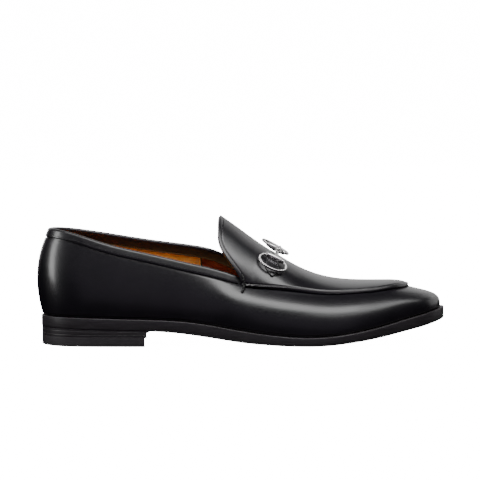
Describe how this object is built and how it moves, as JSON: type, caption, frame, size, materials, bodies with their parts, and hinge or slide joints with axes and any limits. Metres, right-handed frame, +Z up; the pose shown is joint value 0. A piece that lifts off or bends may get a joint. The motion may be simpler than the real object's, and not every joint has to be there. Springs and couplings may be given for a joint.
{
  "type": "bit loafer",
  "caption": "Low leather slip-on shoe with a raised apron and tongue, a narrow collar strip, a metal snaffle bit over the instep and a thin leather sole with a low heel.",
  "frame": {"origin": "on the floor, under the middle of the shoe's length and width", "axes": "+X towards the toe along the shoe's longest extent, +Y towards the inner side of the foot, +Z up"},
  "size_m": [0.3022, 0.1002, 0.0945],
  "materials": {
    "box_calf": "smooth black calf polished to a gloss",
    "sole_leather": "black stained sole leather, burnished edge",
    "insole_leather": "tan vegetable-tanned leather",
    "top_rubber": "matt black rubber",
    "bit_steel": "polished"
  },
  "bodies": {
    "root": {"outsole": "sole_leather", "heel_block": "sole_leather", "heel_top_piece": "top_rubber", "insole": "insole_leather", "upper": "box_calf", "apron_tongue": "box_calf", "topline_band": "box_calf", "tab_lateral": "box_calf", "tab_medial": "box_calf", "bit_half_lateral": "bit_steel", "bit_half_medial": "bit_steel", "bit_link": "bit_steel"}
  },
  "joints": []
}
